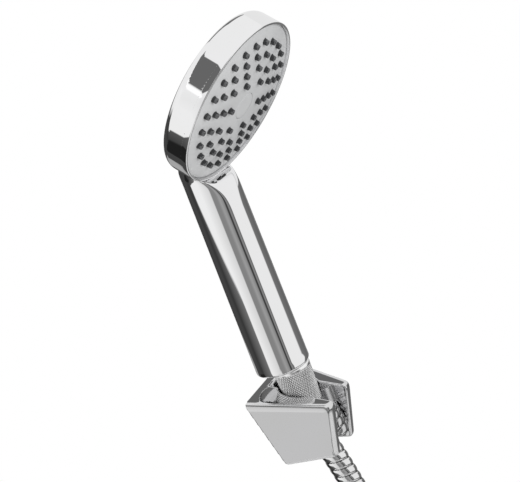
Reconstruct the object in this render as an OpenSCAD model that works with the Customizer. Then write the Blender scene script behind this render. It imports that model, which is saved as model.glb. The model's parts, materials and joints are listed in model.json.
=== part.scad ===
// Handheld shower head on a wall bracket, with its spiral hose.
// Millimetres. Origin: centre of the bracket's wall face. +Y into the wall, +Z up, X along the wall.

/* [Head] */
// Outer diameter of the head
head_d = 100; // [90:1:110]
// Thickness of the head at its rim
head_t = 18; // [16:0.5:20]
// Downward tilt of the spray face, measured from facing straight out
face_tilt = 41; // [37:0.5:45]
// Distance of the face centre in front of the handle's axis
face_x = 41.2; // [39:0.2:43]
// Height of the face centre above the handle's bottom end
face_z = 165.2; // [159:0.2:171]
// Height of the domed face plate's centre above the rim
dome_rise = 3; // [2.4:0.1:3.2]
// Radius of the dome
dome_r = 250; // [240:5:360]

/* [Spray nozzles] */
// Number of rings of nozzles (a ring holds six more than the ring inside it)
ring_count = 4; // [2:1:4]
// Radius of the innermost ring
ring_first_r = 16.1; // [15:0.1:17]
// Distance from ring to ring
ring_step = 7.55; // [6.5:0.05:7.8]
// Turn of the whole pattern about the face's centre
ring_turn = 18; // [0:1:60]
// Diameter of a nozzle at its tip
nozzle_d = 3.2; // [2.6:0.1:3.6]
// How far a nozzle stands out of the face plate
nozzle_h = 2.4; // [1.5:0.1:3]

/* [Handle] */
// Diameter at the bottom end
handle_d1 = 34.2; // [33:0.2:35]
// Diameter at the top end
handle_d2 = 31.8; // [31:0.2:33]
// Wall of the handle and the head
wall = 2.5; // [2:0.1:3]
// Offset of the threaded inlet from the handle's axis, towards the spray face
inlet_offset = 5.4; // [5:0.1:5.8]
// Lean of the handle from the inlet's axis
handle_lean = 1.6; // [0:0.1:3]
// Turn of the handset in the bracket, away from straight out
handset_turn = 6; // [-15:1:15]

/* [Hose nut] */
// Diameter at the top
nut_d1 = 23.8; // [23.4:0.1:24.4]
// Diameter at the bottom
nut_d2 = 20.4; // [20:0.1:21]
// Length
nut_l = 38; // [36:0.5:40]

/* [Bracket] */
// Half width at the top of the wall face
wall_hw_top = 30.1; // [29:0.1:32]
// Half width at the bottom of the wall face
wall_hw_bottom = 23.3; // [22.5:0.1:25]
// Half width at the top of the open end
end_hw = 16.1; // [15.5:0.1:17]
// Height of the wall face's top edge
wall_top_z = 24.7; // [24:0.1:26]
// Height of the wall face's bottom edge
wall_bottom_z = -24.7; // [-26:0.1:-24]
// Distance from the wall to the open end, at the top
end_out = 45.9; // [44:0.1:47]
// Height of the open end's top edge
end_top_z = 2.1; // [1:0.1:3]
// Distance from the wall to the open end, at the bottom
foot_out = 30.6; // [29:0.2:32]
// Height of the open end's bottom edge
foot_z = -31.7; // [-33:0.1:-31]
// Distance of the slot's axis from the wall, at the handle's bottom end
seat_out = 23.4; // [23.2:0.1:24]
// Height of the handle's bottom end above the origin
seat_z = 29.5; // [29:0.1:31]
// Lean of the slot's axis away from the wall
slot_lean = 7.9; // [7:0.1:9]
// Width of the slot's open mouth
mouth_w = 17.8; // [17:0.1:18.4]
// Diameter of the wall screw's hole
screw_hole_d = 5.2; // [4.5:0.1:5.6]

/* [Hose] */
// Outer diameter of the hose
hose_d = 15.5; // [14:0.1:16]
// Radius of the coil, at the middle of the hose
coil_r = 90; // [80:1:92]
// Whole turns in the coil
coil_turns = 2; // [1:1:3]
// Length of the straight tail below the coil's side
tail_l = 125; // [100:1:180]

/* [Hidden] */
$fn = 64;
over = 1;                       // how far a cutter reaches past a face
gap = 0.2;                      // running clearance between pieces that turn or slide

head_r = head_d / 2;
face_r = head_r - wall - gap;   // radius of the face plate
plate_t = 2;                    // face plate
mat_t = 1.5;                    // nozzle mat
back_edge_r = 5;                // rounding of the head's back edge
boss_r = 9;                     // boss behind the face plate's centre
cap_r = 8;                      // centre cap
cap_t = 1;
chamber_h = -8.5;               // back of the chamber plate, from the rim plane
chamber_t = 2;
chamber_r = 46;
handle_top = face_z - 33;       // centre of the handle's rounded top end
neck_r = 32;                    // the neck's front curves back to the rim with this radius
neck_z = face_z - 59;           // where that curve starts
spigot_top = -0.35;             // clears the end of the handle, which leans against it
tube_x = 3.2;                   // the water tube's bottom end, in front of the handle's axis
tube_lean = 1.15;
tube_r = 3.6;
tube_bore_r = 2.6;
tube_bottom = 5;
tube_l = face_z - 31;
thread_r = 10.5;                // G 1/2 pipe thread
spigot_l = 11;
shoulder_c = -15.5;             // the nut's inner shoulder, along the slot's axis
shoulder_t = 2.4;
ferrule_r = 8;
ferrule_end = 36;
stem_r = 4.5;
bore_r = 3.5;
seat_extra = 1.2;               // widening of the slot at its top
pocket_w = 10;                  // screw pocket behind the slot
pocket_back = 5;
pocket_floor = -9;
csk_r = 4.75;
hose_r = hose_d / 2;
coil_x = -45;
coil_z = -180;
hose_y = -20;
tail_x = coil_x + coil_r;
tail_y = hose_y - coil_turns * hose_d;
tail_z = coil_z - tail_l;
tie_t = 1.7;
tie_w = 12;
tie_angle = 215;
hex_af = 24;

// Route of the hose from the ferrule to the coil, chosen by hand.
drop_route = [[0, -17.5, -17], [0, -17.9, -25], [0, -18.7, -35],
    [0, -19.4, -46], [0, -19.9, -60], [0, -20, -75], [2.1, -20, -92.5], [9, -20, -110],
    [22.5, -20, -127.5], [36, -20, -145], [42.9, -20, -162.5], [45, -20, -180]];

// ---------------------------------------------------------------- frames
module slot_frame() translate([0, -seat_out, seat_z]) rotate([slot_lean, 0, 0]) children();
module nut_frame() slot_frame() rotate([0, 0, -90 - handset_turn]) children();
module handle_frame() nut_frame() rotate([0, handle_lean, 0]) translate([-inlet_offset, 0, 0]) children();
module tube_frame() handle_frame() translate([tube_x, 0, tube_bottom]) rotate([0, -tube_lean, 0]) children();
module face_frame() handle_frame() translate([face_x, 0, face_z]) rotate([0, 90 + face_tilt, 0]) children();
module tail_frame() translate([tail_x, tail_y, tail_z]) children();

// ---------------------------------------------------------------- helpers
module ring(r_out, r_in, z0, z1) {
    difference() {
        translate([0, 0, z0]) cylinder(h = z1 - z0, r = r_out);
        translate([0, 0, z0 - over]) cylinder(h = z1 - z0 + 2 * over, r = r_in);
    }
}

module bore(r, z0, z1) translate([0, 0, z0]) cylinder(h = z1 - z0, r = r);

function dome_z(r) = dome_rise - (dome_r - sqrt(dome_r * dome_r - r * r));

// A disc that follows the dome, from depth d0 to depth d1 below its outer surface.
module dome_layer(r, d0, d1) {
    intersection() {
        translate([0, 0, -20]) cylinder(h = 40, r = r);
        translate([0, 0, dome_rise - dome_r]) difference() {
            sphere(r = dome_r - d0, $fn = 400);
            sphere(r = dome_r - d1, $fn = 400);
        }
    }
}

// Places its children at every nozzle, on the face plate's outer surface.
module at_nozzles() {
    for (k = [1 : ring_count], i = [0 : 6 * k - 1]) {
        r = ring_first_r + (k - 1) * ring_step;
        rotate([0, 0, ring_turn + i * 60 / k]) translate([r, 0, dome_z(r)]) children();
    }
}

module stadium(w, l) {
    square([w, l - w], center = true);
    for (s = [-1, 1]) translate([0, s * (l - w) / 2]) circle(d = w);
}

// ---------------------------------------------------------------- bracket
hw_per_z = (wall_hw_top - wall_hw_bottom) / (wall_top_z - wall_bottom_z);
hw_per_out = (wall_hw_top - hw_per_z * (wall_top_z - end_top_z) - end_hw) / end_out;

module side_cut() {
    turn = -atan(hw_per_out);
    rise = -atan2(hw_per_z, sqrt(1 + hw_per_out * hw_per_out));
    translate([wall_hw_top, 0, wall_top_z]) rotate([0, -rise, turn])
        translate([-150, -100, -120]) cube([150, 200, 200]);
}

module bracket_block() {
    intersection() {
        translate([-50, 0, 0]) rotate([90, 0, 90]) linear_extrude(100)
            polygon([[0, wall_top_z], [-end_out, end_top_z], [-foot_out, foot_z], [0, wall_bottom_z]]);
        side_cut();
        mirror([1, 0, 0]) side_cut();
    }
}

module slot_void() {
    seat_r = nut_d2 / 2 + gap + 0.05;
    flare = (nut_d1 - nut_d2) / 2 / nut_l + seat_extra / 30;
    top = 12;
    slot_frame() {
        translate([0, 0, -nut_l - gap]) cylinder(h = nut_l + top, r1 = seat_r, r2 = seat_r + flare * (nut_l + top));
        translate([0, 0, -80]) cylinder(h = 80, d = mouth_w);
        translate([-mouth_w / 2, -70, -80]) cube([mouth_w, 70, 110]);
    }
}

module bracket_body() color([0.82, 0.83, 0.84]) {
    difference() {
        bracket_block();
        slot_void();
        translate([-pocket_w / 2, -seat_out, pocket_floor]) cube([pocket_w, seat_out - pocket_back, 60]);
        rotate([90, 0, 0]) translate([0, 0, -over]) cylinder(h = 20, d = screw_hole_d);
        rotate([90, 0, 0]) translate([0, 0, pocket_back - csk_r + screw_hole_d / 2])
            cylinder(h = csk_r - screw_hole_d / 2 + over, r1 = screw_hole_d / 2, r2 = csk_r + over);
    }
}

// ---------------------------------------------------------------- handset
module cone_nut() color([0.80, 0.80, 0.81]) nut_frame() {
    r1 = nut_d1 / 2;
    r2 = nut_d2 / 2;
    difference() {
        rotate_extrude() polygon([[0, -0.3], [r1 - 1.6, -0.3], [r1 - 0.5, -1], [r1, -2.6],
            [r2, -nut_l + 0.8], [r2 - 0.8, -nut_l], [0, -nut_l]]);
        bore(thread_r, shoulder_c, over);
        bore(6.3, shoulder_c - shoulder_t - over, shoulder_c + over);
        bore(ferrule_r + gap, -nut_l - over, shoulder_c - shoulder_t);
    }
}

module handle_solid(inset, z0) {
    r1 = handle_d1 / 2 - inset;
    r2 = handle_d2 / 2 - inset;
    intersection() {
        union() {
            translate([0, 0, z0]) cylinder(h = handle_top - z0, r1 = r1 - (r1 - r2) * z0 / handle_top, r2 = r2);
            translate([0, 0, handle_top]) sphere(r = r2);
        }
        union() {
            translate([-40, -40, -over]) cube([80, 80, neck_z + over]);
            translate([handle_d2 / 2 + 0.4 - neck_r, 0, neck_z]) rotate([90, 0, 0])
                cylinder(h = 80, r = neck_r - inset, center = true, $fn = 180);
        }
    }
}

module head_solid() {
    rotate_extrude($fn = 180) {
        translate([0, -head_t]) square([head_r - back_edge_r, head_t]);
        translate([0, back_edge_r - head_t]) square([head_r, head_t - back_edge_r]);
        translate([head_r - back_edge_r, back_edge_r - head_t]) circle(r = back_edge_r);
    }
}

module body_shell() color([0.86, 0.87, 0.88]) {
    difference() {
        union() {
            handle_frame() handle_solid(0, 0);
            face_frame() head_solid();
        }
        handle_frame() handle_solid(wall, 3);
        face_frame() bore(head_r - wall, wall - head_t, dome_rise + over);
        tube_frame() bore(tube_r + gap, 80, tube_l + 3);
        nut_frame() bore(8.9, -5, 8);
    }
}

module inlet_adapter() color("goldenrod") {
    difference() {
        nut_frame() {
            bore(10.4, -spigot_l, spigot_top);
            bore(8.8, -1, 7.5);
            bore(8.3, 7, 14);
        }
        nut_frame() bore(8.2, -spigot_l - over, -4);
        nut_frame() bore(tube_r, -6, 4);
        tube_frame() bore(tube_r + 0.8, -0.5, 25);
    }
}

module inlet_filter() color("silver") nut_frame() ring(8.1, 1.2, -10.6, -9.6);

module flow_regulator() color("steelblue") nut_frame() ring(8.1, 2, -9.2, -5.4);

module water_tube() color("whitesmoke") tube_frame() ring(tube_r, tube_bore_r, 0, tube_l);

module tube_seal() color("black") tube_frame() translate([0, 0, 4]) rotate_extrude()
    translate([tube_r + 0.4, 0]) circle(r = 0.39, $fn = 16);

module chamber_plate() color("lightgray") {
    difference() {
        union() {
            face_frame() bore(chamber_r, chamber_h, chamber_h + chamber_t);
            face_frame() ring(chamber_r, chamber_r - 2, chamber_h, dome_z(chamber_r) - plate_t - mat_t - 0.4);
            face_frame() bore(5, chamber_h, -4.8);
            intersection() {
                tube_frame() bore(5.4, tube_l - 12, tube_l + 6);
                face_frame() bore(head_r - wall - 0.3, wall - head_t + 0.2, chamber_h + 0.5);
            }
        }
        tube_frame() bore(tube_r + gap, tube_l - 30, tube_l + 0.5);
        tube_frame() bore(tube_bore_r, tube_l, tube_l + 3);
        face_frame() translate([39, 0, 0]) bore(3.5, chamber_h - 4, 0);
        face_frame() bore(2.1, -20, 0);
    }
}

module chamber_seal() color("black") face_frame() rotate_extrude($fn = 128)
    translate([chamber_r + 0.7, chamber_h + 1.5]) circle(r = 0.65, $fn = 16);

module nozzle_mat() color([0.30, 0.31, 0.33]) face_frame() {
    tip_r = nozzle_d / 2;
    difference() {
        union() {
            dome_layer(chamber_r + 0.5, plate_t, plate_t + mat_t);
            at_nozzles() translate([0, 0, -plate_t - 0.3])
                cylinder(h = plate_t + 0.3 + nozzle_h, r1 = tip_r + 0.3, r2 = tip_r, $fn = 24);
        }
        bore(boss_r + gap, -20, 20);
        at_nozzles() translate([0, 0, -6]) cylinder(h = 12, r = 0.6, $fn = 16);
    }
}

module face_plate() color([0.77, 0.78, 0.79]) face_frame() {
    difference() {
        union() {
            dome_layer(face_r, 0, plate_t);
            bore(boss_r, -4.5, dome_rise - 1);
        }
        bore(cap_r + 0.1, dome_rise - cap_t - 0.1, 10);
        bore(3.6, -0.6, 10);
        bore(2.2, -20, 10);
        at_nozzles() translate([0, 0, -6]) cylinder(h = 12, r = nozzle_d / 2 + 0.4, $fn = 24);
    }
}

module face_screw() color("silver") face_frame() {
    bore(3.3, -0.6, 1.1);
    bore(2, -8, 0);
}

module centre_cap() color([0.74, 0.75, 0.76]) face_frame() bore(cap_r, dome_rise - cap_t, dome_rise);

// ---------------------------------------------------------------- hose
module hose_washer() color("dimgray") nut_frame() ring(9.4, 5, -13.1, -spigot_l - 0.1);

module hose_nipple() color("goldenrod") nut_frame() difference() {
    union() {
        bore(9.5, shoulder_c + 0.1, -13.2);
        bore(5.9, -18.2, shoulder_c + 0.5);
        bore(stem_r, -ferrule_end + 2, -18);
    }
    bore(bore_r, -60, 0);
}

module hose_ferrule() color("silver") nut_frame() difference() {
    bore(ferrule_r, -ferrule_end, -18.3);
    bore(stem_r + 0.05, -ferrule_end + 1.9, 0);
    bore(bore_r, -60, 0);
}

function unit(v) = v / norm(v);
function slot_point(c) = [0, -seat_out - c * sin(slot_lean), seat_z + c * cos(slot_lean)];

// A tube of 12 sides swept along a list of points that lies in planes close to the wall.
module swept_tube(points, r) {
    sides = 12;
    last = len(points) - 1;
    rings = [for (i = [0 : last])
        let (t = unit(points[min(i + 1, last)] - points[max(i - 1, 0)]),
             u = unit(cross(t, [0, 1, 0])), v = cross(u, t))
        for (k = [0 : sides - 1]) points[i] + r * (cos(k * 360 / sides) * u + sin(k * 360 / sides) * v)];
    faces = concat(
        [[for (k = [0 : sides - 1]) k]],
        [[for (k = [sides - 1 : -1 : 0]) last * sides + k]],
        [for (i = [0 : last - 1], k = [0 : sides - 1])
            let (a = i * sides + k, b = i * sides + (k + 1) % sides)
            [b, a, a + sides, b + sides]]);
    polyhedron(rings, faces);
}

module hose_drop() color("silver")
    swept_tube(concat([slot_point(-ferrule_end), slot_point(-ferrule_end - 5)], drop_route), hose_r);

module hose_coil() color("silver")
    translate([coil_x, (hose_y + tail_y) / 2, coil_z]) rotate([90, 0, 0]) rotate_extrude($fn = 96)
        translate([coil_r, 0]) stadium(hose_d, (coil_turns + 1) * hose_d);

module coil_tie() color("black")
    translate([coil_x, (hose_y + tail_y) / 2, coil_z]) rotate([0, -tie_angle, 0]) translate([coil_r, 0, -tie_w / 2])
        linear_extrude(tie_w) difference() {
            stadium(hose_d + 2 * tie_t, (coil_turns + 1) * hose_d + 2 * tie_t);
            stadium(hose_d + 0.6, (coil_turns + 1) * hose_d + 0.6);
        }

module hose_tail() color("silver") tail_frame() bore(hose_r, 0, tail_l);

module tail_ferrule() color("silver") tail_frame() difference() {
    bore(8.5, -20, 0);
    bore(stem_r + 0.05, -21, -1.9);
    bore(bore_r, -30, 1);
}

module tail_nipple() color("goldenrod") tail_frame() difference() {
    union() {
        bore(stem_r, -20.5, -2);
        bore(6, -24.6, -20.1);
        bore(9.5, -27, -24.5);
    }
    bore(bore_r, -30, 1);
}

module supply_washer() color("dimgray") tail_frame() ring(9.5, 5, -29.2, -27.1);

module supply_nut() color([0.80, 0.80, 0.81]) tail_frame() difference() {
    intersection() {
        translate([0, 0, -37]) cylinder(h = 15.6, d = hex_af / cos(30), $fn = 6);
        translate([0, 0, -37]) cylinder(h = 15.6, r = hex_af / 2 + 1.3);
    }
    bore(6.3, -40, 0);
    bore(9.9, -30, -24.4);
    bore(thread_r, -40, -29.3);
}

bracket_body();
cone_nut();
body_shell();
inlet_adapter();
inlet_filter();
flow_regulator();
water_tube();
tube_seal();
chamber_plate();
chamber_seal();
nozzle_mat();
face_plate();
face_screw();
centre_cap();
hose_washer();
hose_nipple();
hose_ferrule();
hose_drop();
hose_coil();
coil_tie();
hose_tail();
tail_ferrule();
tail_nipple();
supply_washer();
supply_nut();
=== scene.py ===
"""Looks for the handheld shower head, its wall bracket and its spiral hose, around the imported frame.

Meshes are made in millimetres in the part's own sub-frames, and placed in metres.
"""

import json
import math

import bmesh
import bpy
import numpy as np
from mathutils import Matrix, Quaternion, Vector


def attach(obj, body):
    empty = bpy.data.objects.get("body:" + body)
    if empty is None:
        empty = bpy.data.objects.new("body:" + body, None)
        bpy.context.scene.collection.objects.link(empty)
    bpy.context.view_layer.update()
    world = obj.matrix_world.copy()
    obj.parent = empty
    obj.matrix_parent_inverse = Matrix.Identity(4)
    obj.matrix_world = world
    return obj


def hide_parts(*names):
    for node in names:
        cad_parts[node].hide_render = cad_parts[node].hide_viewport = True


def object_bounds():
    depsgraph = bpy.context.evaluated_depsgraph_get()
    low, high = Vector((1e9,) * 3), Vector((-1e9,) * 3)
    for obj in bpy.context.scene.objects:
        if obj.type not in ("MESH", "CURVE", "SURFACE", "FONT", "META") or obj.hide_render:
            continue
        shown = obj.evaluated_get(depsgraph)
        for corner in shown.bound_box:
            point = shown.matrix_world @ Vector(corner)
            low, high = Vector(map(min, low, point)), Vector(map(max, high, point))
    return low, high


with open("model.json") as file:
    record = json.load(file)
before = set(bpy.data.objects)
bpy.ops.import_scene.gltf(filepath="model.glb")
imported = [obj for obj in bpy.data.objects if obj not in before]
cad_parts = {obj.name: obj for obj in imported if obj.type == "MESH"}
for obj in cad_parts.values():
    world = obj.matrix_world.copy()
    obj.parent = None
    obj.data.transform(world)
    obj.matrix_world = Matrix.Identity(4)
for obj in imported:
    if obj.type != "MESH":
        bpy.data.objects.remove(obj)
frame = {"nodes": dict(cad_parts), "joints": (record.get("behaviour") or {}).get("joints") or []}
cad_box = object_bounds()

MM = 0.001
TAU = 2 * math.pi
CUBE_CORNERS = [(i, j, k) for i in (0, 1) for j in (0, 1) for k in (0, 1)]

# Sizes in millimetres and angles in degrees. RIM_R is the edge that the visible spray plate is drawn out
# to, past the CAD plate's PLATE_R.
HEAD_R, HEAD_T, BACK_EDGE_R = 50, 18, 5
FACE_X, FACE_Z, FACE_TILT = 41.2, 165.2, 41
DOME_RISE, DOME_R, PLATE_R, RIM_R = 3, 250, 47.3, 48.5
RING_FIRST_R, RING_STEP, RING_COUNT, RING_TURN = 16.1, 7.55, 4, 18
NOZZLE_R, NOZZLE_H = 1.6, 2.4
HANDLE_R1, HANDLE_R2, HANDLE_TOP = 17.1, 15.9, 132.2
NECK_R, NECK_Z, NECK_X = 32, 106.2, 16.3
INLET_OFFSET, HANDLE_LEAN, HANDSET_TURN = 5.4, 1.6, 6
NUT_R1, NUT_R2, NUT_L = 11.9, 10.2, 38
WALL_HW_TOP, WALL_HW_BOTTOM, END_HW = 30.1, 23.3, 16.1
WALL_TOP_Z, WALL_BOTTOM_Z = 24.7, -24.7
END_OUT, END_TOP_Z, FOOT_OUT, FOOT_Z = 45.9, 2.1, 30.6, -31.7
MOUTH_HW, SEAT_R, SEAT_FLARE = 8.9, 10.45, 0.085
POCKET_HW, POCKET_BACK, POCKET_FLOOR = 5, 5, -9
HOSE_R, HOSE_PITCH, HOSE_RIB = 7.75, 5.3, 0.55
COIL_X, COIL_Z, COIL_R, COIL_TURNS, HOSE_Y = -45, -180, 90, 2, -20
TAIL_L, FERRULE_END, HOSE_LENGTH = 125, 36, 1.5


def place(x, y, z):
    return Matrix.Translation((x * MM, y * MM, z * MM))


def turned(degrees, axis):
    return Matrix.Rotation(math.radians(degrees), 4, axis)


def joint(name):
    return next(j for j in frame["joints"] if j["name"] == name)


SLOT_AXIS = Vector(joint("handset_turn")["axis"])
SLOT_POS = Vector(joint("handset_turn")["pos_m"])
SLOT_FRAME = Matrix.Translation(SLOT_POS) @ turned(math.degrees(math.asin(-SLOT_AXIS.y)), "X")
NUT_FRAME = SLOT_FRAME @ turned(-90 - HANDSET_TURN, "Z")
HANDLE_FRAME = NUT_FRAME @ turned(HANDLE_LEAN, "Y") @ place(-INLET_OFFSET, 0, 0)
FACE_FRAME = HANDLE_FRAME @ place(FACE_X, 0, FACE_Z) @ turned(90 + FACE_TILT, "Y")
SUPPLY_POS = Vector(joint("supply_nut_turn")["pos_m"])
TAIL_FRAME = Matrix.Translation(SUPPLY_POS) @ place(0, 0, 25)
PART_FRAME = Matrix.Identity(4)


# ------------------------------------------------------------------ camera and hose route

def make_camera():
    """The photograph's view: azimuth, elevation and roll, looking at the middle of the handset."""
    azimuth, elevation, roll = math.radians(-54.55), math.radians(10.69), math.radians(29.2)
    target = Vector((-3.9, -51.5, 109.1)) * MM
    distance = 0.7578
    back = Vector((
        math.sin(azimuth) * math.cos(elevation),
        -math.cos(azimuth) * math.cos(elevation),
        math.sin(elevation),
    ))
    camera = bpy.data.objects.new("camera", bpy.data.cameras.new("camera"))
    bpy.context.scene.collection.objects.link(camera)
    camera.data.sensor_width = 36
    camera.data.lens = 89.85
    camera.data.clip_start = 0.05
    camera.location = target + back * distance
    camera.rotation_mode = "QUATERNION"
    camera.rotation_quaternion = (-back).to_track_quat("-Z", "Y") @ Quaternion((0, 0, 1), -roll)
    bpy.context.scene.camera = camera


# Route of the hose from the ferrule to the coil, as in the CAD source.
DROP_ROUTE = [
    (0, -17.5, -17), (0, -17.9, -25), (0, -18.7, -35), (0, -19.4, -46), (0, -19.9, -60),
    (0, -20, -75), (2.1, -20, -92.5), (9, -20, -110), (22.5, -20, -127.5), (36, -20, -145),
    (42.9, -20, -162.5), (45, -20, -180),
]


def hose_points():
    """The whole route in millimetres: down from the ferrule, round the coil, and down the tail."""
    start = [SLOT_FRAME @ Vector((0, 0, -c * MM)) / MM for c in (FERRULE_END, FERRULE_END + 5)]
    points = [tuple(p) for p in start] + DROP_ROUTE
    per_turn, tail_steps = 24, 6
    fall = 2 * HOSE_R / per_turn
    for i in range(1, per_turn * COIL_TURNS + 1):
        angle = -TAU * i / per_turn
        x, z = COIL_R * math.cos(angle), COIL_R * math.sin(angle)
        points.append((COIL_X + x, HOSE_Y - fall * i, COIL_Z + z))
    end = points[-1]
    points += [(end[0], end[1], COIL_Z - TAIL_L * i / tail_steps) for i in range(1, tail_steps + 1)]
    return np.array(points, float)


def smooth_route(points, spacing):
    """A Catmull-Rom curve through the points, at even spacing."""
    padded = np.vstack([2 * points[0] - points[1], points, 2 * points[-1] - points[-2]])
    t = np.linspace(0, 1, 40, endpoint=False)[:, None]
    parts = []
    for a, b, c, d in zip(padded, padded[1:], padded[2:], padded[3:]):
        parts.append(0.5 * (2 * b + (c - a) * t + (2 * a - 5 * b + 4 * c - d) * t**2
                            + (3 * b - a - 3 * c + d) * t**3))
    fine = np.vstack(parts + [points[-1:]])
    along = np.r_[0, np.cumsum(np.linalg.norm(np.diff(fine, axis=0), axis=1))]
    even = np.linspace(0, along[-1], int(along[-1] / spacing) + 1)
    return np.stack([np.interp(even, along, fine[:, k]) for k in range(3)], 1), even


# ------------------------------------------------------------------ mesh helpers

def new_piece(name, verts, faces, at, body, material, replaces=(), normals=None):
    """Makes a smooth mesh object from millimetre points in the sub-frame `at`."""
    mesh = bpy.data.meshes.new(name)
    mesh.from_pydata(np.asarray(verts, float).tolist(), [], [list(map(int, f)) for f in faces])
    mesh.transform(at @ Matrix.Scale(MM, 4))
    mesh.shade_smooth()
    mesh.validate()
    if normals is not None:
        turn = np.array(at.to_3x3())
        mesh.normals_split_custom_set_from_vertices((normals @ turn.T).tolist())
    piece = bpy.data.objects.new(name, mesh)
    bpy.context.scene.collection.objects.link(piece)
    mesh.materials.append(material)
    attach(piece, body)
    if replaces:
        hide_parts(*replaces)
    return piece


def lathe(profile, sides=96):
    """A closed surface of revolution about Z from (radius, height) points. Radius 0 closes an end."""
    verts, faces, rows = [], [], []
    for r, z in profile:
        count = 1 if r == 0 else sides
        rows.append((len(verts), count))
        verts += [(r * math.cos(TAU * i / sides), r * math.sin(TAU * i / sides), z) for i in range(count)]
    for (a, na), (b, nb) in zip(rows, rows[1:]):
        for i in range(sides):
            j = (i + 1) % sides
            if na == 1 and nb == 1:
                continue
            if na == 1:
                faces.append((a, b + j, b + i))
            elif nb == 1:
                faces.append((a + i, a + j, b))
            else:
                faces.append((a + i, a + j, b + j, b + i))
    return verts, faces


def merged(parts):
    """Several (verts, faces) as one."""
    verts, faces = [], []
    for v, f in parts:
        base = len(verts)
        verts += [tuple(p) for p in v]
        faces += [tuple(i + base for i in face) for face in f]
    return verts, faces


def bend(centre, radius, start, end, count=6):
    """Points of an arc in a (radius, height) profile, angles in degrees."""
    angles = [math.radians(start + (end - start) * i / count) for i in range(count + 1)]
    return [(centre[0] + radius * math.cos(a), centre[1] + radius * math.sin(a)) for a in angles]


def softmin(a, b, k):
    h = np.maximum(k - np.abs(a - b), 0) / k
    return np.minimum(a, b) - h**3 * k / 6


def softmax(a, b, k):
    return -softmin(-a, -b, k)


def gradient(distance, p):
    e = 0.01
    g = np.stack([
        distance(p + e * np.eye(3)[k]) - distance(p - e * np.eye(3)[k]) for k in range(3)
    ], 1)
    return g / np.maximum(np.linalg.norm(g, axis=1), 1e-9)[:, None]


def crossed_cells(inside):
    """The grid cells that the surface runs through, and each cell's number, or -1."""
    cells = tuple(n - 1 for n in inside.shape)
    block = np.zeros(cells, int)
    for i, j, k in CUBE_CORNERS:
        block += inside[i:i + cells[0], j:j + cells[1], k:k + cells[2]]
    where = np.argwhere((block > 0) & (block < 8))
    ids = np.full(cells, -1)
    ids[tuple(where.T)] = np.arange(len(where))
    return where, ids


def cell_points(d, where, low, step):
    """A point for each cell: the middle of the places where its edges cross the surface."""
    total = np.zeros((len(where), 3))
    count = np.zeros(len(where))
    for a in CUBE_CORNERS:
        for axis in range(3):
            if a[axis]:
                continue
            b = tuple(1 if k == axis else a[k] for k in range(3))
            da = d[tuple((where + a).T)]
            db = d[tuple((where + b).T)]
            cross = (da < 0) != (db < 0)
            t = np.where(cross, da / np.where(cross, da - db, 1), 0)
            point = where + np.array(a) + t[:, None] * (np.array(b) - a)
            total += np.where(cross[:, None], point, 0)
            count += cross
    return np.array(low) + step * total / count[:, None]


def cell_faces(inside, ids):
    """A quad between the four cells round each grid edge that crosses the surface."""
    faces = []
    for axis in range(3):
        u, v = (axis + 1) % 3, (axis + 2) % 3
        first = np.take(inside, range(inside.shape[axis] - 1), axis)
        second = np.take(inside, range(1, inside.shape[axis]), axis)
        edge = np.argwhere(first != second)
        within = (edge[:, u] > 0) & (edge[:, v] > 0)
        within &= (edge[:, u] < ids.shape[u]) & (edge[:, v] < ids.shape[v])
        edge = edge[within]
        flip = first[tuple(edge.T)]
        quad = []
        for du, dv in ((-1, -1), (0, -1), (0, 0), (-1, 0)):
            cell = edge.copy()
            cell[:, u] += du
            cell[:, v] += dv
            quad.append(ids[tuple(cell.T)])
        quad = np.stack(quad, 1)
        faces.append(np.where(flip[:, None], quad, quad[:, ::-1]))
    return np.vstack(faces)


def relaxed(distance, verts, faces, passes=6):
    """Points moved halfway to the mean of their neighbours and back on to the surface, several times."""
    links = np.vstack([faces[:, [0, 1]], faces[:, [1, 2]], faces[:, [2, 3]], faces[:, [3, 0]]])
    ends = np.r_[links[:, 0], links[:, 1]]
    others = np.r_[links[:, 1], links[:, 0]]
    weight = np.maximum(np.bincount(links.ravel(), minlength=len(verts)), 1)[:, None]
    for _ in range(passes):
        sums = [np.bincount(ends, verts[others, k], len(verts)) for k in range(3)]
        mean = np.stack(sums, 1) / weight
        verts = verts + 0.5 * (mean - verts)
        for _ in range(2):
            verts = verts - distance(verts)[:, None] * gradient(distance, verts)
    return verts


def skin(distance, low, high, step):
    """A relaxed quad mesh on the surface where distance(points) is zero, and its normals."""
    axes = [np.arange(a, b + step, step) for a, b in zip(low, high)]
    grid = np.stack(np.meshgrid(*axes, indexing="ij"), -1)
    d = distance(grid.reshape(-1, 3)).reshape(grid.shape[:3])
    where, ids = crossed_cells(d < 0)
    faces = cell_faces(d < 0, ids)
    verts = relaxed(distance, cell_points(d, where, low, step), faces)
    return verts, faces, gradient(distance, verts)


# ------------------------------------------------------------------ materials

def material(name, colour, metallic=0.0, roughness=0.4):
    made = bpy.data.materials.new(name)
    made.use_nodes = True
    shader = made.node_tree.nodes["Principled BSDF"]
    shader.inputs["Base Color"].default_value = (*colour, 1)
    shader.inputs["Metallic"].default_value = metallic
    shader.inputs["Roughness"].default_value = roughness
    return made, made.node_tree, shader


def noise(tree, scale, detail=3.0, stretch=(1, 1, 1)):
    """Object-space noise, so that the grain has the same size on every piece."""
    place_node = tree.nodes.new("ShaderNodeTexCoord")
    mapping = tree.nodes.new("ShaderNodeMapping")
    mapping.inputs["Scale"].default_value = stretch
    texture = tree.nodes.new("ShaderNodeTexNoise")
    texture.inputs["Scale"].default_value = scale
    texture.inputs["Detail"].default_value = detail
    tree.links.new(place_node.outputs["Object"], mapping.inputs["Vector"])
    tree.links.new(mapping.outputs["Vector"], texture.inputs["Vector"])
    return texture.outputs["Fac"]


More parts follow.
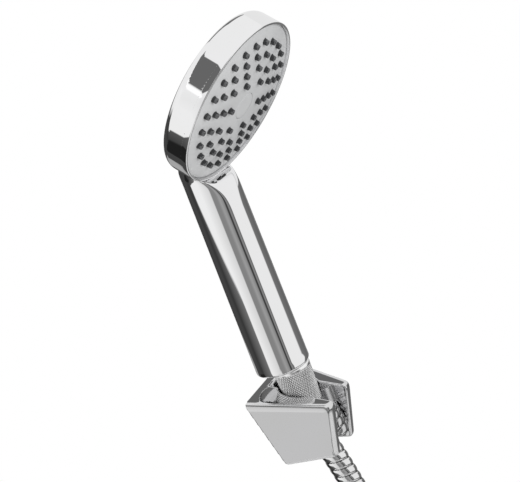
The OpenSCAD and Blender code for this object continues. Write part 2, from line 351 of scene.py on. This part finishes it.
def vary(tree, value, socket, low, high):
    """Links a number socket to a noise value, from low to high."""
    spread = tree.nodes.new("ShaderNodeMapRange")
    spread.inputs["From Min"].default_value = 0.3
    spread.inputs["From Max"].default_value = 0.7
    spread.inputs["To Min"].default_value = low
    spread.inputs["To Max"].default_value = high
    tree.links.new(value, spread.inputs["Value"])
    tree.links.new(spread.outputs["Result"], socket)


def tint(tree, value, socket, dark, light):
    """Links a colour socket to a value, from one colour to another."""
    ramp = tree.nodes.new("ShaderNodeValToRGB")
    ramp.color_ramp.elements[0].position = 0.35
    ramp.color_ramp.elements[1].position = 0.65
    ramp.color_ramp.elements[0].color = (*dark, 1)
    ramp.color_ramp.elements[1].color = (*light, 1)
    tree.links.new(value, ramp.inputs["Fac"])
    tree.links.new(ramp.outputs["Color"], socket)


def shaded(tree):
    """The number that shade_by keeps, for painted shade and painted light."""
    node = tree.nodes.new("ShaderNodeAttribute")
    node.attribute_name = "shade"
    return node.outputs["Fac"]


def grooved_chrome(name, dark, bright, roughness):
    """Chrome with painted shade in its grooves: its colour is duller and darker there, by the mesh's shade
    number.
    """
    made, tree, shader = material(name, (bright,) * 3, 1.0, roughness)
    vary(tree, noise(tree, 200), shader.inputs["Roughness"], roughness, roughness + 0.05)
    tint(tree, shaded(tree), shader.inputs["Base Color"], (dark,) * 3, (bright,) * 3)
    return made


def bump(tree, value, shader, height):
    """Bump of a height in millimetres."""
    node = tree.nodes.new("ShaderNodeBump")
    node.inputs["Distance"].default_value = height * MM
    node.inputs["Strength"].default_value = 1.0
    tree.links.new(value, node.inputs["Height"])
    tree.links.new(node.outputs["Normal"], shader.inputs["Normal"])


def chrome(name, bright, roughness=0.03):
    made, tree, shader = material(name, (bright, bright, bright * 1.01), 1.0, roughness)
    vary(tree, noise(tree, 160), shader.inputs["Roughness"], roughness, roughness + 0.02)
    tint(tree, noise(tree, 22), shader.inputs["Base Color"],
         (bright * 0.985,) * 3, (bright, bright, min(1, bright * 1.012)))
    return made


def brushed(name, colour, roughness=0.3, stretch=(1, 1, 12)):
    made, tree, shader = material(name, colour, 1.0, roughness)
    grain = noise(tree, 500, 4, stretch)
    vary(tree, grain, shader.inputs["Roughness"], roughness - 0.08, roughness + 0.1)
    bump(tree, grain, shader, 0.01)
    return made


def plastic(name, dark, light, roughness, grain_scale, grain_height):
    made, tree, shader = material(name, light, 0.0, roughness)
    tint(tree, noise(tree, 40), shader.inputs["Base Color"], dark, light)
    grain = noise(tree, grain_scale, 2)
    vary(tree, grain, shader.inputs["Roughness"], roughness - 0.04, roughness + 0.06)
    bump(tree, grain, shader, grain_height)
    return made


def nozzle_rubber(name, dark, light):
    """Dark silicone with painted light: paler on the tips, by the mesh's shade number."""
    made, tree, shader = material(name, dark, 0.0, 0.42)
    grain = noise(tree, 700, 2)
    tint(tree, shaded(tree), shader.inputs["Base Color"], dark, light)
    vary(tree, grain, shader.inputs["Roughness"], 0.36, 0.5)
    bump(tree, grain, shader, 0.02)
    return made


def woven(name, dark, light):
    """Narrow webbing: crossed waves at thread pitch."""
    made, tree, shader = material(name, light, 0.0, 0.85)
    place_node = tree.nodes.new("ShaderNodeTexCoord")
    waves = []
    for direction in ("X", "Z"):
        wave = tree.nodes.new("ShaderNodeTexWave")
        wave.bands_direction = direction
        wave.inputs["Scale"].default_value = 420
        wave.inputs["Distortion"].default_value = 0.6
        tree.links.new(place_node.outputs["Object"], wave.inputs["Vector"])
        waves.append(wave.outputs["Fac"])
    product = tree.nodes.new("ShaderNodeMath")
    product.operation = "MULTIPLY"
    tree.links.new(waves[0], product.inputs[0])
    tree.links.new(waves[1], product.inputs[1])
    tint(tree, product.outputs[0], shader.inputs["Base Color"], dark, light)
    bump(tree, product.outputs[0], shader, 0.15)
    shader.inputs["Sheen Weight"].default_value = 0.3
    return made


CHROME = chrome("polished_chrome", 0.92, 0.015)
BRACKET_CHROME = chrome("bracket_chrome", 0.76, 0.05)
SATIN_CHROME = chrome("satin_chrome", 0.84, 0.12)
# The nut's knurl and the hose's seams get painted shade: a darker colour in their grooves.
NUT_CHROME = grooved_chrome("knurled_chrome", 0.3, 0.97, 0.2)
HOSE_STEEL = grooved_chrome("hose_steel", 0.12, 0.86, 0.07)
STEEL = brushed("brushed_steel", (0.62, 0.62, 0.63))
BRASS = brushed("turned_brass", (0.72, 0.53, 0.24), 0.25)
FACE_GREY = plastic("face_plastic", (0.6, 0.605, 0.61), (0.66, 0.665, 0.67), 0.36, 900, 0.006)
# The lighter colour is painted light on the nozzle tips.
SILICONE = nozzle_rubber("nozzle_silicone", (0.03, 0.031, 0.033), (0.12, 0.122, 0.126))
RUBBER = plastic("seal_rubber", (0.012, 0.012, 0.013), (0.02, 0.02, 0.021), 0.6, 600, 0.02)
INNER = plastic("inner_plastic", (0.74, 0.74, 0.72), (0.8, 0.8, 0.78), 0.4, 500, 0.01)
REGULATOR = plastic("regulator_plastic", (0.05, 0.13, 0.3), (0.07, 0.17, 0.36), 0.4, 500, 0.01)
WEBBING = woven("tie_webbing", (0.006, 0.006, 0.007), (0.03, 0.03, 0.034))


# ------------------------------------------------------------------ handset

def face_coordinates(p):
    """Height in front of the rim plane, height up the face, and radius, of points in the handle's frame."""
    c, s = math.cos(math.radians(FACE_TILT)), math.sin(math.radians(FACE_TILT))
    x, z = p[:, 0] - FACE_X, p[:, 2] - FACE_Z
    out = x * c - z * s
    up = x * s + z * c
    return out, up, np.hypot(up, p[:, 1])


def handle_distance(p):
    rho = np.hypot(p[:, 0], p[:, 1])
    z = p[:, 2]
    cone = rho - HANDLE_R1 - (HANDLE_R2 - HANDLE_R1) * z / HANDLE_TOP
    dome = np.hypot(rho, z - HANDLE_TOP) - HANDLE_R2
    arc = np.hypot(p[:, 0] - NECK_X + NECK_R, z - NECK_Z) - NECK_R
    neck = np.where(z > NECK_Z, arc, p[:, 0] - NECK_X)
    return softmax(np.where(z > HANDLE_TOP, dome, cone), neck, 3)


def shell_distance(p):
    """Head and handle, with a fillet that fades out towards the front, and the head hollow."""
    out, _, radius = face_coordinates(p)
    front, back = -2.4, -HEAD_T
    wall, back_wall, hollow_edge = 2.4, 2.5, 6
    least_fillet, fillet_growth = 2.4, 13.8
    middle, half = (front + back) / 2, (front - back) / 2
    edge = np.where(out < middle, BACK_EDGE_R, 0.3)
    q1 = radius - (HEAD_R - 0.06) + edge
    q2 = np.abs(out - middle) - half + edge
    disc = np.hypot(np.maximum(q1, 0), np.maximum(q2, 0)) + np.minimum(np.maximum(q1, q2), 0) - edge
    fade = np.clip((-out - 2.5) / 12, 0, 1)
    fillet = least_fillet + fillet_growth * fade * fade * (3 - 2 * fade)
    solid = softmin(disc, handle_distance(p), fillet)
    hollow = softmax(radius - (HEAD_R - wall), -(out + HEAD_T - back_wall), hollow_edge)
    return np.maximum(solid, -hollow)


def close_handle(mesh, cut_z):
    """Cuts the handle off at cut_z and grows its bottom edge, its end face and its inside from the cut."""
    made = bmesh.new()
    made.from_mesh(mesh)
    geometry = made.verts[:] + made.edges[:] + made.faces[:]
    bmesh.ops.bisect_plane(made, geom=geometry, dist=1e-6, plane_co=(0, 0, cut_z), plane_no=(0, 0, 1),
                           clear_inner=True)
    rim = [v for v in made.verts if v.is_boundary and abs(v.co.z - cut_z) < 1e-3]
    rim.sort(key=lambda v: math.atan2(v.co.y, v.co.x))
    angles = [math.atan2(v.co.y, v.co.x) for v in rim]
    rounding, inlet_r, hollow_r, hollow_top = 1.4, 8.95, 14, 106
    edge = bend((HANDLE_R1 - rounding, rounding), rounding, 0, -90)
    profile = [(0, HANDLE_R1 - 0.02, 3.5)] + [(0, x, z) for x, z in edge]
    profile += [(INLET_OFFSET * 0.4, 13.5, 0), (INLET_OFFSET, inlet_r + 0.35, 0)]
    profile += [(INLET_OFFSET, inlet_r, 0.4), (INLET_OFFSET, inlet_r, 3)]
    profile += [(0, hollow_r + 0.5, 3.2), (0, hollow_r, 60)]
    profile += [(0, hollow_r - 0.5, hollow_top - 1)]
    for centre, radius, z in profile:
        ring = [made.verts.new((centre + radius * math.cos(a), radius * math.sin(a), z)) for a in angles]
        for i in range(len(ring)):
            j = (i + 1) % len(ring)
            made.faces.new((rim[j], rim[i], ring[i], ring[j]))
        rim = ring
    top = made.verts.new((0, 0, hollow_top))
    for i in range(len(rim)):
        made.faces.new((rim[(i + 1) % len(rim)], rim[i], top))
    bmesh.ops.remove_doubles(made, verts=made.verts, dist=1e-4)
    made.to_mesh(mesh)
    made.free()


def make_shell():
    low, high, step = (-22, -52, 0), (78, 52, 214), 1.1
    verts, faces, _ = skin(shell_distance, low, high, step)
    mesh = bpy.data.meshes.new("scratch")
    mesh.from_pydata(verts.tolist(), [], faces.tolist())
    close_handle(mesh, 6)
    count = len(mesh.vertices)
    points = np.zeros(count * 3)
    mesh.vertices.foreach_get("co", points)
    points = points.reshape(-1, 3)
    plain = np.zeros(count * 3)
    mesh.vertex_normals.foreach_get("vector", plain)
    plain = plain.reshape(-1, 3)
    exact = gradient(shell_distance, points)
    on_skin = (np.abs(shell_distance(points)) < 0.02) & (points[:, 2] > 5.9)
    normals = np.where((on_skin & ((plain * exact).sum(1) > 0.9))[:, None], exact, plain)
    polygons = [tuple(f.vertices) for f in mesh.polygons]
    bpy.data.meshes.remove(mesh)
    new_piece("shell", points, polygons, HANDLE_FRAME, "handset", CHROME,
              ["body_shell"], normals)


def make_lip():
    """The chrome lip round the face plate."""
    outer, inner = HEAD_R, RIM_R + 0.12
    profile = [(outer, -3.6)] + bend((outer - 0.6, -0.6), 0.6, 0, 90)
    profile += bend((inner + 0.3, -0.3), 0.3, 90, 180)
    profile += [(inner, -2.4), (outer - 0.8, -2.4), (outer - 0.8, -3.6)]
    verts, faces = lathe(profile + profile[:1], 256)
    piece = new_piece("face_lip", verts, faces, FACE_FRAME, "handset", CHROME)
    weld(piece)
    sharpen(piece, 30)


def make_plate_rim():
    """The plate's thin outer flange, which carries its dome on to the lip."""
    inner, low = PLATE_R - 0.02, -2.3
    top = [(RIM_R - 0.15, dome_height(RIM_R) + 0.02), (RIM_R, dome_height(RIM_R) - 0.15)]
    profile = [(inner, dome_height(inner))] + top + [(RIM_R, low), (inner, low)]
    verts, faces = lathe(profile + profile[:1], 256)
    piece = new_piece("plate_rim", verts, faces, FACE_FRAME, "handset", FACE_GREY)
    weld(piece)
    sharpen(piece, 40)


def shade_by(piece, values):
    """Keeps one number for each vertex, from 0, dark, to 1, light, which the material reads as painted
    shade and painted light.
    """
    kept = piece.data.attributes.new("shade", "FLOAT", "POINT")
    kept.data.foreach_set("value", np.asarray(values, np.float32))


def weld(piece):
    made = bmesh.new()
    made.from_mesh(piece.data)
    bmesh.ops.remove_doubles(made, verts=made.verts, dist=1e-7)
    bmesh.ops.recalc_face_normals(made, faces=made.faces)
    made.to_mesh(piece.data)
    made.free()


def sharpen(piece, degrees):
    """Marks creases sharper than an angle, so that flat and rounded faces shade apart."""
    made = bmesh.new()
    made.from_mesh(piece.data)
    for edge in made.edges:
        edge.smooth = not (edge.is_manifold and edge.calc_face_angle() > math.radians(degrees))
    made.to_mesh(piece.data)
    made.free()


def dome_height(r):
    return DOME_RISE - DOME_R + math.sqrt(DOME_R**2 - r**2)


def nozzle_places():
    for ring in range(1, RING_COUNT + 1):
        r = RING_FIRST_R + (ring - 1) * RING_STEP
        for i in range(6 * ring):
            angle = math.radians(RING_TURN + i * 60 / ring)
            yield r * math.cos(angle), r * math.sin(angle), dome_height(r)


def make_nozzles():
    """Sixty soft nozzles on one mat, each with a flared foot, a rounded tip and a hole."""
    tip, hole, foot_z = NOZZLE_R, 0.5, -3.2
    profile = [(0, foot_z), (tip + 0.3, foot_z), (tip + 0.3, -0.5), (tip + 0.22, 0.1), (tip + 0.12, 0.5)]
    profile += bend((tip - 0.25, NOZZLE_H - 0.25), 0.25, 0, 90, 4)
    profile += [(hole + 0.35, NOZZLE_H), (hole + 0.12, NOZZLE_H - 0.06), (hole, NOZZLE_H - 0.25)]
    profile += [(hole * 0.8, NOZZLE_H - 1.6), (0, NOZZLE_H - 1.6)]
    verts, faces = lathe(profile, 28)
    parts = [([(x + a, y + b, z + c) for x, y, z in verts], faces) for a, b, c in nozzle_places()]
    mat_r, mat_t, below = 46.4, 1.3, 2.3
    rim = [(mat_r * i / 12, dome_height(mat_r * i / 12) - below) for i in range(12, -1, -1)]
    under = [(r, z - mat_t) for r, z in reversed(rim)]
    parts.append(lathe(under + rim, 96))
    verts, faces = merged(parts)
    piece = new_piece("nozzles", verts, faces, FACE_FRAME, "handset", SILICONE,
                      ["nozzle_mat"])
    above = [z - dome_height(min(math.hypot(x, y), HEAD_R)) for x, y, z in verts]
    # Painted light: the tips, which face the light, get a paler colour than the sides.
    shade_by(piece, [1.0 if NOZZLE_H - 0.15 < h < NOZZLE_H + 0.4 else 0.0 for h in above])
    sharpen(piece, 50)


def make_cap():
    """The centre cap: nearly flush, with a soft edge."""
    top, r = DOME_RISE, 7.9
    profile = [(0, top - 1), (r, top - 1), (r, top - 0.35)] + bend((r - 0.35, top - 0.4), 0.35, 0, 90, 5)
    profile += [(6, top), (3, top), (0, top)]
    verts, faces = lathe(profile, 96)
    piece = new_piece("centre_badge", verts, faces, FACE_FRAME, "handset", FACE_GREY,
                      ["centre_cap"])
    weld(piece)
    sharpen(piece, 50)


def make_nut():
    """The conical hose nut with its diamond knurl."""
    sides, teeth, row = 414, 46, 0.26
    knurl_top, knurl_bottom, depth = -2.6, -26, 0.4
    shoulder, shoulder_z, hollow_r, hollow_top = 1.6, -1.9, 8.3, -18
    rows = [(0, -0.3), (NUT_R1 - 1.8, -0.3)]
    for a in np.radians(range(10, 91, 16)):
        rows.append((NUT_R1 - shoulder + shoulder * math.sin(a), shoulder_z + shoulder * math.cos(a)))
    heights = np.arange(knurl_top, -NUT_L + 0.9, -row)
    rows += [(NUT_R1 + (NUT_R2 - NUT_R1) * -z / NUT_L, z) for z in heights]
    rows += [(NUT_R2 - 0.8, -NUT_L), (NUT_R2 - 1.8, -NUT_L)]
    rows += [(hollow_r, -NUT_L), (hollow_r, hollow_top), (0, hollow_top)]
    verts, faces = lathe(rows, sides)
    p = np.array(verts)
    radius = np.hypot(p[:, 0], p[:, 1])
    turn = np.arctan2(p[:, 1], p[:, 0]) * teeth / TAU
    climb = p[:, 2] * teeth / (TAU * NUT_R1) * 0.7
    groove = np.minimum(np.abs((turn + climb) % 1 - 0.5), np.abs((turn - climb) % 1 - 0.5)) * 2
    band = np.clip((knurl_top - p[:, 2]) / 0.8, 0, 1) * np.clip((p[:, 2] - knurl_bottom) / 0.8, 0, 1)
    outside = (radius > 9.2) & (p[:, 2] < knurl_top + 0.01)
    cut = np.where(outside, depth * band * (1 - np.clip(groove * 2.2, 0, 1)), 0)
    p[:, :2] *= (1 - cut / np.maximum(radius, 1))[:, None]
    piece = new_piece("knurled_nut", p, faces, NUT_FRAME, "handset", NUT_CHROME, ["cone_nut"])
    # Painted shade: the knurl's grooves get a darker colour, and the deepest cuts are darkest.
    shade_by(piece, 1 - cut / depth)
    sharpen(piece, 60)


# ------------------------------------------------------------------ bracket

def plane(p, a, b):
    """Distance in front of the plane that holds the X axis and runs from a to b, both (out, z)."""
    across = Vector((b[1] - a[1], a[0] - b[0])).normalized()
    return -((-p[:, 1] - a[0]) * across[0] + (p[:, 2] - a[1]) * across[1])


def bracket_distance(p):
    x, out, z = np.abs(p[:, 0]), -p[:, 1], p[:, 2]
    per_z = (WALL_HW_TOP - WALL_HW_BOTTOM) / (WALL_TOP_Z - WALL_BOTTOM_Z)
    per_out = (WALL_HW_TOP - per_z * (WALL_TOP_Z - END_TOP_Z) - END_HW) / END_OUT
    side = x - WALL_HW_TOP + per_z * (WALL_TOP_Z - z) + per_out * out
    side = side / math.sqrt(1 + per_z**2 + per_out**2)
    top = plane(p, (0, WALL_TOP_Z), (END_OUT, END_TOP_Z))
    end = plane(p, (END_OUT, END_TOP_Z), (FOOT_OUT, FOOT_Z))
    foot = plane(p, (FOOT_OUT, FOOT_Z), (0, WALL_BOTTOM_Z))
    block = softmax(softmax(top, side, 6), softmax(end, foot, 3), 5)
    block = softmax(block, -out, 1)
    lean = math.asin(-SLOT_AXIS.y)
    dy, dz = p[:, 1] - SLOT_POS.y / MM, z - SLOT_POS.z / MM
    c = -dy * math.sin(lean) + dz * math.cos(lean)
    front = -(dy * math.cos(lean) + dz * math.sin(lean))
    seat = np.where(c > -NUT_L - 0.2, SEAT_R + SEAT_FLARE * (c + NUT_L), MOUTH_HW)
    round_part = np.hypot(x, front) - seat
    mouth = np.maximum(x - MOUTH_HW, -front)
    slot = np.minimum(round_part, mouth)
    pocket = np.maximum(x - POCKET_HW, POCKET_FLOOR - z)
    pocket = np.maximum(pocket, np.maximum(POCKET_BACK - out, out + SLOT_POS.y / MM))
    hole = np.hypot(p[:, 0], z) - np.clip(out - 0.25, 2.6, 4.75)
    return softmax(block, -np.minimum(np.minimum(slot, pocket), hole), 1.8)


def make_bracket():
    room, step = 1.5, 0.8
    low = (-WALL_HW_TOP - room, -END_OUT - room, FOOT_Z - room)
    high = (WALL_HW_TOP + room, room, WALL_TOP_Z + room)
    verts, faces, normals = skin(bracket_distance, low, high, step)
    new_piece("bracket", verts, faces, PART_FRAME, "bracket", BRACKET_CHROME,
              ["bracket_body"], normals)


# ------------------------------------------------------------------ hose

def make_hose():
    """The spiral metal hose: one tube whose ribs wind round it, along the CAD route."""
    sides, rings_per_rib, starts = 28, 10, 2
    line, along = smooth_route(hose_points(), HOSE_PITCH / rings_per_rib)
    tangent = np.gradient(line, axis=0)
    tangent /= np.linalg.norm(tangent, axis=1)[:, None]
    u = np.cross(tangent, (0, 1, 0))
    u /= np.linalg.norm(u, axis=1)[:, None]
    v = np.cross(u, tangent)
    angle = TAU * np.arange(sides) / sides
    phase = (along[:, None] / HOSE_PITCH - starts * angle[None] / TAU) % 1
    seam = np.clip(1 - np.minimum(phase, 1 - phase) / 0.14, 0, 1)
    seam_depth = 0.25
    radius = HOSE_R - 0.05 - HOSE_RIB * (2 * phase - 1) ** 2 - seam_depth * seam
    points = line[:, None] + radius[..., None] * (
        np.cos(angle)[None, :, None] * u[:, None] + np.sin(angle)[None, :, None] * v[:, None]
    )
    verts = points.reshape(-1, 3)
    i = np.arange(len(line) - 1)[:, None] * sides
    j = np.arange(sides)[None]
    k = (j + 1) % sides
    faces = np.stack([i + j, i + k, i + sides + k, i + sides + j], -1).reshape(-1, 4)[:, ::-1].tolist()
    faces.append(list(range(sides)))
    faces.append([len(verts) - 1 - n for n in range(sides)])
    piece = new_piece("hose", verts, faces, PART_FRAME, "hose", HOSE_STEEL,
                      ["hose_drop", "hose_coil", "hose_tail"])
    # Painted shade: the colour darkens in the seam grooves that wind round the hose.
    shade_by(piece, 1 - seam.ravel())
    return piece, line * MM


def stadium_path(half_width, half_run, count=16):
    """Points round a shape with two straight sides and round ends, half_run long each way along Y."""
    points = []
    for centre, start in ((half_run, 0), (-half_run, 180)):
        for i in range(count + 1):
            a = math.radians(start + 180 * i / count)
            points.append((half_width * math.cos(a), centre + half_width * math.sin(a)))
    return points


def make_tie():
    """A hook-and-loop strap round the coil, with its free end folded over."""
    run = COIL_TURNS * HOSE_R
    angle = math.radians(215)
    middle_y = HOSE_Y - COIL_TURNS * HOSE_R
    verts, faces = [], []
    section = [(0.2, -6), (0.9, -5.9), (1.15, -5.4), (1.0, 0), (1.15, 5.4), (0.9, 5.9), (0.2, 6), (0.05, 0)]
    path = stadium_path(HOSE_R + 0.3, run)
    count = len(path)
    for n, (x, y) in enumerate(path):
        centre = run if y > 0 else -run
        nx, ny = x, y - centre
        if abs(y) < run:
            nx, ny = math.copysign(1, x), 0
        size = math.hypot(nx, ny)
        for d, w in section:
            verts.append((x + nx / size * d, y + ny / size * d, w))
    m = len(section)
    for n in range(count):
        for s in range(m):
            a, b = n * m + s, n * m + (s + 1) % m
            c, d = ((n + 1) % count) * m + (s + 1) % m, ((n + 1) % count) * m + s
            faces.append((a, b, c, d))
    flap_steps = 10
    flap = [(HOSE_R + 1.4, -run * 0.8 + run * 1.5 * t / flap_steps) for t in range(flap_steps + 1)]
    base = len(verts)
    for x, y in flap:
        verts += [(x, y, -5.6), (x + 0.75, y, -5.4), (x + 0.75, y, 5.4), (x, y, 5.6)]
    for n in range(flap_steps):
        for s in range(4):
            a, b = base + n * 4 + s, base + n * 4 + (s + 1) % 4
            faces.append((a, b, b + 4, a + 4))
    faces.append((base + 3, base + 2, base + 1, base))
    last = base + 4 * flap_steps
    faces.append((last, last + 1, last + 2, last + 3))
    at = place(COIL_X, middle_y, COIL_Z) @ Matrix.Rotation(-angle, 4, "Y") @ place(COIL_R, 0, 0)
    piece = new_piece("strap", verts, faces, at, "hose", WEBBING, ["coil_tie"])
    weld(piece)
    sharpen(piece, 40)
    return piece


def make_tail_ferrule():
    """The crimped sleeve at the valve end, with three pressed grooves."""
    r = 8.5
    profile = [(0, 0), (r - 0.5, 0), (r, -0.5)]
    for groove in (-4, -8, -12):
        profile += [(r, groove + 1), (r - 0.45, groove + 0.5), (r - 0.45, groove - 0.5), (r, groove - 1)]
    profile += [(r, -19.2), (r - 0.8, -20), (6.2, -20), (0, -20)]
    verts, faces = lathe(profile, 72)
    piece = new_piece("crimp_sleeve", verts, faces, TAIL_FRAME, "hose", STEEL, ["tail_ferrule"])
    weld(piece)
    sharpen(piece, 30)
    return piece


# ------------------------------------------------------------------ CAD nodes that stay

def finish_node(name, made, width=0.25):
    """Gives a CAD node its material and, if it shows, a small bevel."""
    node = frame["nodes"][name]
    node.data.materials.clear()
    node.data.materials.append(made)
    if width:
        bevel = node.modifiers.new("edge", "BEVEL")
        bevel.width = width * MM
        bevel.segments = 2
        bevel.limit_method = "ANGLE"
        bevel.angle_limit = math.radians(50)


def finish_nodes():
    looks = {
        "face_plate": (FACE_GREY, 0), "inlet_adapter": (BRASS, 0.2), "inlet_filter": (STEEL, 0.1),
        "flow_regulator": (REGULATOR, 0.2), "water_tube": (INNER, 0.2), "tube_seal": (RUBBER, 0),
        "chamber_plate": (INNER, 0), "chamber_seal": (RUBBER, 0), "face_screw": (STEEL, 0.2),
        "hose_washer": (RUBBER, 0.2), "hose_nipple": (BRASS, 0.2), "hose_ferrule": (STEEL, 0.3),
        "tail_nipple": (BRASS, 0.2), "supply_washer": (RUBBER, 0.2), "supply_nut": (SATIN_CHROME, 0.4),
    }
    for name, (made, width) in looks.items():
        finish_node(name, made, width)


# ------------------------------------------------------------------ studio

def maths(tree, operation, a, b=0.0, clamp=False):
    """A Math node on two numbers or sockets."""
    node = tree.nodes.new("ShaderNodeMath")
    node.operation = operation
    node.use_clamp = clamp
    for socket, value in zip(node.inputs, (a, b)):
        if isinstance(value, (int, float)):
            socket.default_value = value
        else:
            tree.links.new(value, socket)
    return node.outputs[0]


def grey_ramp(tree, value, stops):
    """Greys blended between (place, shade) stops."""
    node = tree.nodes.new("ShaderNodeValToRGB")
    elements = node.color_ramp.elements
    while len(elements) < len(stops):
        elements.new(0.5)
    for element, (at, shade) in zip(elements, stops):
        element.position = at
        element.color = (shade, shade, shade, 1)
    tree.links.new(value, node.inputs["Fac"])
    return node.outputs["Color"]


def laid_over(tree, share, under, shade):
    """A grey laid over a colour, where share is 1."""
    node = tree.nodes.new("ShaderNodeMix")
    node.data_type = "RGBA"
    tree.links.new(share, node.inputs["Factor"])
    tree.links.new(under, node.inputs[6])
    node.inputs[7].default_value = (shade, shade, shade, 1)
    return node.outputs[2]


def window(tree, value, low, high, soft=1.2):
    """1 where low < value < high, with soft edges."""
    rising = maths(tree, "DIVIDE", maths(tree, "SUBTRACT", value, low), soft, True)
    falling = maths(tree, "DIVIDE", maths(tree, "SUBTRACT", high, value), soft, True)
    return maths(tree, "MULTIPLY", rising, falling)


# The surroundings' shade by azimuth, in degrees.
STUDIO_BANDS = [
    (-180, 0.06), (-160, 0.04), (-145, 0.09), (-119, 0.17), (-117.5, 0.92), (-79, 0.72), (-76, 0.24),
    (-60, 0.25), (-50, 0.36), (-40, 0.28), (-37, 0.22), (-35.5, 0.05), (-29.5, 0.05), (-28, 0.23),
    (-21, 0.24), (-19.5, 0.13), (-16.5, 0.13), (-15, 0.2), (-13, 0.88), (49, 0.88), (51, 0.17),
    (80, 0.13), (110, 0.24), (124, 0.12), (150, 0.05), (180, 0.06),
]


def studio_shade(tree):
    """Grey bands by azimuth, with patches over them by azimuth and elevation."""
    coordinates = tree.nodes.new("ShaderNodeTexCoord")
    split = tree.nodes.new("ShaderNodeSeparateXYZ")
    tree.links.new(coordinates.outputs["Generated"], split.inputs[0])
    forward = maths(tree, "MULTIPLY", split.outputs["Y"], -1)
    turn = maths(tree, "DEGREES", maths(tree, "ARCTAN2", split.outputs["X"], forward))
    rise = maths(tree, "DEGREES", maths(tree, "ARCSINE", split.outputs["Z"]))
    slant = maths(tree, "MULTIPLY", maths(tree, "SUBTRACT", -117, turn), -0.26)
    slope = maths(tree, "ADD", rise, slant)

    def patch(left, right, height, low, high):
        return maths(tree, "MULTIPLY", window(tree, turn, left, right), window(tree, height, low, high))

    share = maths(tree, "ADD", maths(tree, "DIVIDE", turn, 360), 0.5)
    seen = grey_ramp(tree, share, [((a + 180) / 360, shade) for a, shade in STUDIO_BANDS])
    cards = [
        (window(tree, rise, 20, 100, 8), 0.9),
        (patch(-152, -115, slope, -14, 40), 0.92),
        (patch(-116, -82, rise, -50, -27), 0.68),
        (patch(50, 136, rise, -3, 33), 0.84),
        (patch(-78, 50, rise, -70, -36), 0.1),
        (patch(-99, -93, rise, 25, 60), 1.1),
        (patch(-93, -51, rise, 29, 75), 0.14),
        (patch(86, 135, rise, 32, 56), 0.16),
        (patch(142, 166, rise, -19, -11), 0.4),
        (patch(-185, -153, rise, -24, -12), 0.015),
        (window(tree, rise, -100, -43, 6), 0.55),
    ]
    for card, shade in cards:
        seen = laid_over(tree, card, seen, shade)
    return seen


def make_studio():
    """Surroundings of grey bands, which only reflections and light show. The camera sees plain white."""
    world = bpy.data.worlds.new("studio")
    bpy.context.scene.world = world
    world.use_nodes = True
    tree = world.node_tree
    tree.nodes.clear()
    path = tree.nodes.new("ShaderNodeLightPath")
    seen = laid_over(tree, path.outputs["Is Camera Ray"], studio_shade(tree), 1.0)
    background = tree.nodes.new("ShaderNodeBackground")
    output = tree.nodes.new("ShaderNodeOutputWorld")
    tree.links.new(seen, background.inputs["Color"])
    tree.links.new(background.outputs[0], output.inputs["Surface"])


def make_floor():
    """A round pale floor, a little below the lowest end of the hose."""
    made = material("floor", (0.9, 0.9, 0.9), 0.0, 0.7)[0]
    floor_r, floor_t, gap = 320, 2, 20
    verts, faces = lathe([(0, -floor_t), (floor_r, -floor_t), (floor_r, 0), (0, 0)], 128)
    mesh = bpy.data.meshes.new("floor")
    mesh.from_pydata(verts, [], faces)
    mesh.transform(place(0, 0, cad_box[0].z / MM - gap) @ Matrix.Scale(MM, 4))
    floor = bpy.data.objects.new("floor", mesh)
    bpy.context.scene.collection.objects.link(floor)
    mesh.materials.append(made)


def make_light():
    """One broad soft light from the front left, above."""
    light = bpy.data.lights.new("key", "AREA")
    light.shape = "DISK"
    light.size = 0.8
    light.energy = 9.5
    lamp = bpy.data.objects.new("key", light)
    lamp.location = (-0.5, -1.3, 0.0)
    lamp.rotation_mode = "QUATERNION"
    lamp.rotation_quaternion = (Vector((0, -0.05, 0.1)) - lamp.location).to_track_quat("-Z", "Y")
    lamp.visible_glossy = False
    bpy.context.scene.collection.objects.link(lamp)


def main():
    bpy.context.scene.view_settings.view_transform = "Standard"
    make_camera()
    hose, line = make_hose()
    strap = make_tie()
    sleeve = make_tail_ferrule()
    make_shell()
    make_lip()
    make_plate_rim()
    make_nozzles()
    make_cap()
    make_nut()
    make_bracket()
    finish_nodes()
    make_studio()
    make_floor()
    make_light()


main()
